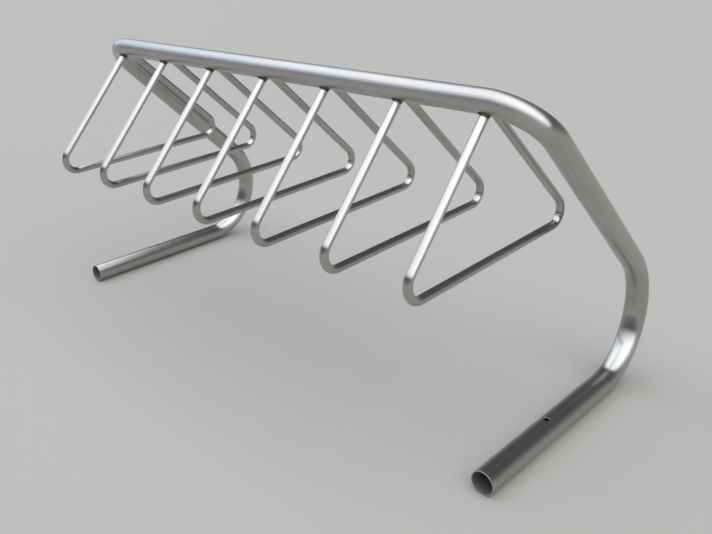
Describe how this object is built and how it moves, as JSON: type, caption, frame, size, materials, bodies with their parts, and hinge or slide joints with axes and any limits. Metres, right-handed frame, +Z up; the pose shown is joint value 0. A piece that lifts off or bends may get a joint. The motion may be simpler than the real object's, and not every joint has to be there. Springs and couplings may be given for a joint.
{
  "type": "hoop bike rack",
  "caption": "Free-standing steel bike rack: a bent tube rail on two curved feet with rounded triangular hoops hanging below it for wheels and locks.",
  "frame": {"origin": "on the ground, midway between the two anchor holes in the feet", "axes": "+X along the rail, -Y the way the open ends of the feet point, +Z up"},
  "size_m": [1.7654, 0.9093, 0.8999],
  "materials": {
    "main_tube": "semi-polished stainless steel",
    "hoop_bar": "semi-polished stainless steel",
    "weld": "brushed weld bead, slightly heat-tinted"
  },
  "bodies": {
    "root": {"main_tube": "main_tube", "hoop_1": "hoop_bar", "hoop_1_front_weld": "weld", "hoop_1_rear_weld": "weld", "hoop_2": "hoop_bar", "hoop_2_front_weld": "weld", "hoop_2_rear_weld": "weld", "hoop_3": "hoop_bar", "hoop_3_front_weld": "weld", "hoop_3_rear_weld": "weld", "hoop_4": "hoop_bar", "hoop_4_front_weld": "weld", "hoop_4_rear_weld": "weld", "hoop_5": "hoop_bar", "hoop_5_front_weld": "weld", "hoop_5_rear_weld": "weld", "hoop_6": "hoop_bar", "hoop_6_front_weld": "weld", "hoop_6_rear_weld": "weld", "hoop_7": "hoop_bar", "hoop_7_front_weld": "weld", "hoop_7_rear_weld": "weld"}
  },
  "joints": []
}
